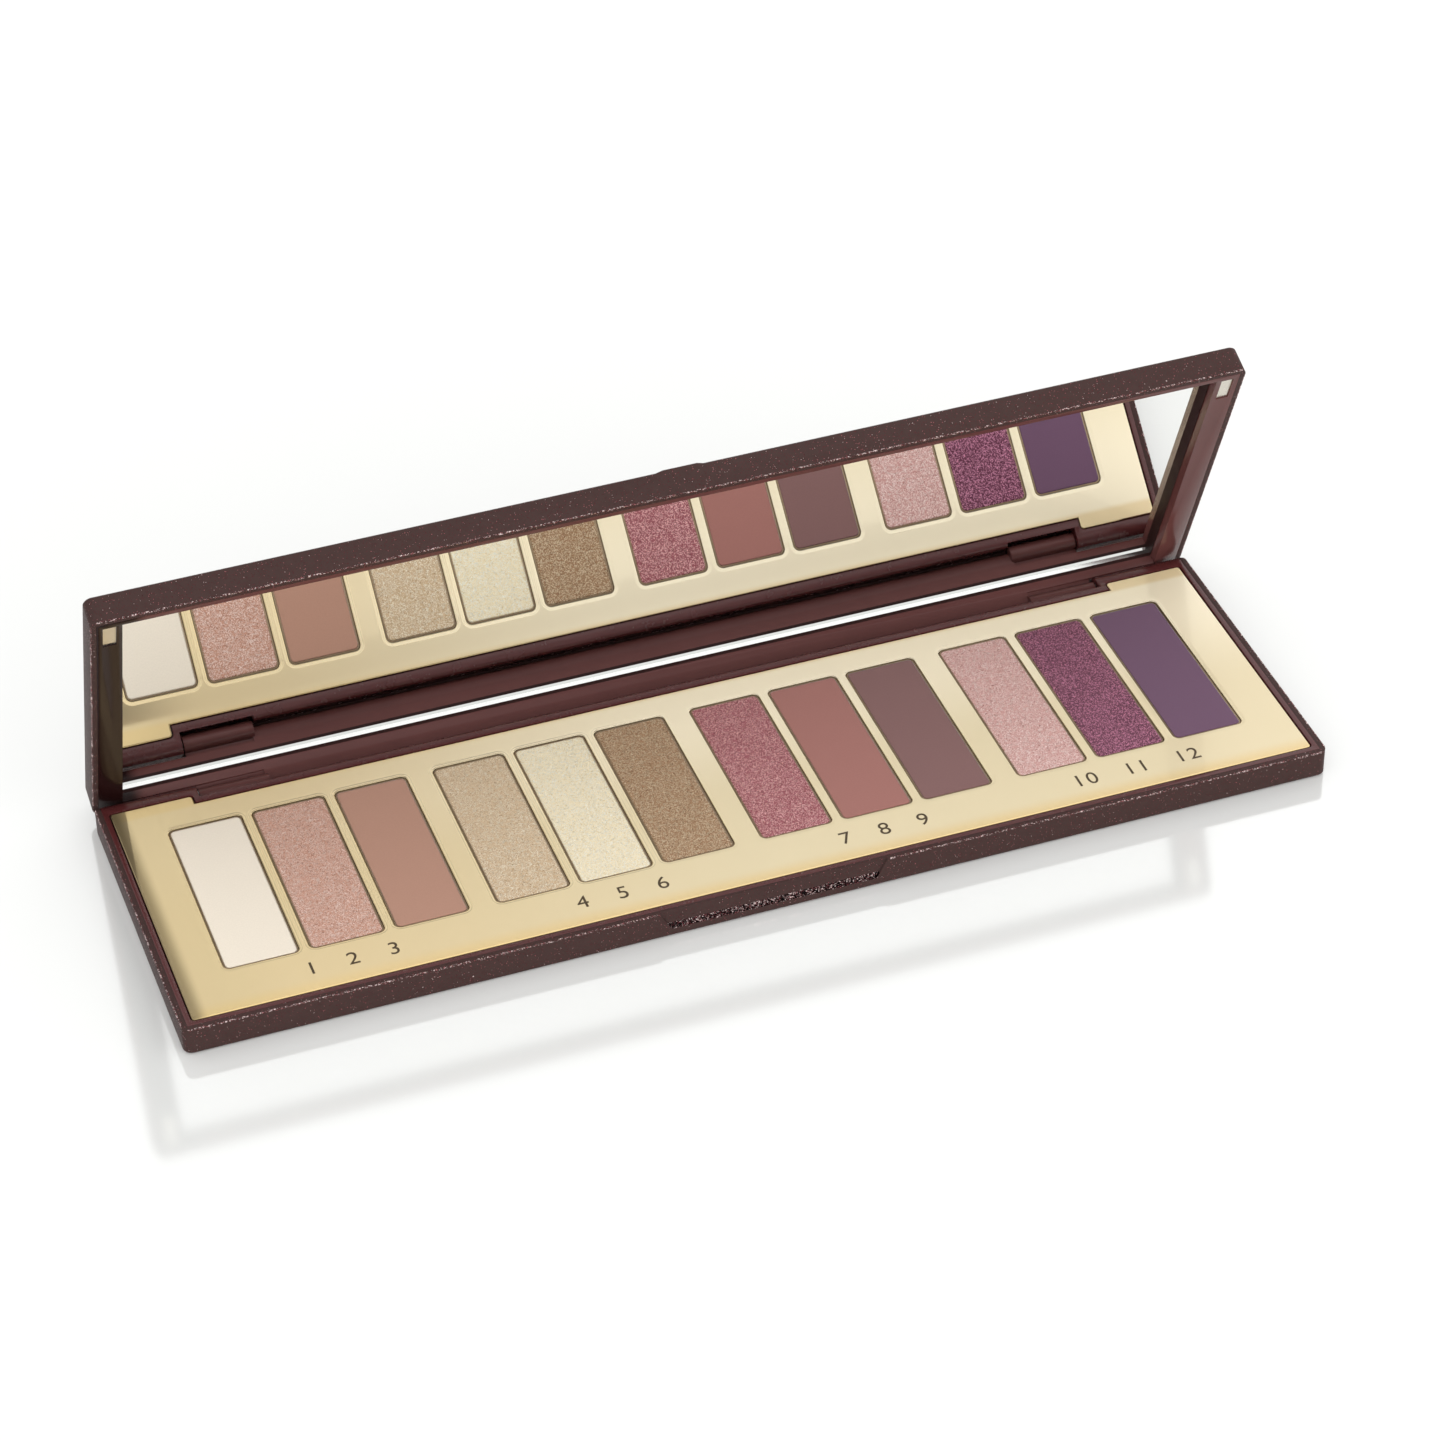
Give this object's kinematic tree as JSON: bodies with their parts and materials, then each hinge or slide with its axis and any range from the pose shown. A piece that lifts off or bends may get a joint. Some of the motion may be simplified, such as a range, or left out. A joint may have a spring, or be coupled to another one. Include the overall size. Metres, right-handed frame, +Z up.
{
  "type": "eyeshadow palette",
  "caption": "Long slim makeup palette: hinged lid with a mirror, gold deck with slot windows in groups, pressed powders in thin metal pans, thumb notch at the front.",
  "frame": {"origin": "centre of the flat underside of the base", "axes": "+X along the length to the right of the user, +Y towards the hinge, +Z up from the underside"},
  "size_m": [0.208, 0.0689, 0.0632],
  "materials": {
    "shell_glitter": "satin with fine glitter",
    "case_plain": "satin",
    "deck_gold": "metallised, mirror-like",
    "pan_metal": "bright",
    "pin_steel": "bright",
    "magnet_plate": "bright nickel",
    "mirror": "mirror",
    "adhesive": "matte",
    "powder_01": "pressed powder, matte",
    "powder_02": "pressed powder, shimmer",
    "powder_03": "pressed powder, matte",
    "powder_04": "pressed powder, shimmer",
    "powder_05": "pressed powder, shimmer",
    "powder_06": "pressed powder, shimmer",
    "powder_07": "pressed powder, shimmer",
    "powder_08": "pressed powder, matte",
    "powder_09": "pressed powder, matte",
    "powder_10": "pressed powder, shimmer",
    "powder_11": "pressed powder, glitter",
    "powder_12": "pressed powder, matte"
  },
  "bodies": {
    "base": {"base_shell": "shell_glitter", "pan_tray": "case_plain", "deck_plate": "deck_gold", "pan_01": "pan_metal", "pan_02": "pan_metal", "pan_03": "pan_metal", "pan_04": "pan_metal", "pan_05": "pan_metal", "pan_06": "pan_metal", "pan_07": "pan_metal", "pan_08": "pan_metal", "pan_09": "pan_metal", "pan_10": "pan_metal", "pan_11": "pan_metal", "pan_12": "pan_metal", "powder_01": "powder_01", "powder_02": "powder_02", "powder_03": "powder_03", "powder_04": "powder_04", "powder_05": "powder_05", "powder_06": "powder_06", "powder_07": "powder_07", "powder_08": "powder_08", "powder_09": "powder_09", "powder_10": "powder_10", "powder_11": "powder_11", "powder_12": "powder_12", "base_magnet_left": "magnet_plate", "base_magnet_right": "magnet_plate", "hinge_pin_left": "pin_steel", "hinge_pin_right": "pin_steel"},
    "lid": {"lid_shell": "shell_glitter", "lid_frame": "case_plain", "mirror_glass": "mirror", "mirror_adhesive": "adhesive", "lid_magnet_left": "magnet_plate", "lid_magnet_right": "magnet_plate"}
  },
  "joints": [
    {"name": "lid_hinge", "type": "hinge", "parent": "base", "child": "lid", "pos_m": [0, 0.02955, 0.00303], "axis": [-1, 0, 0], "range_deg": [-68.4, 26.6]}
  ]
}
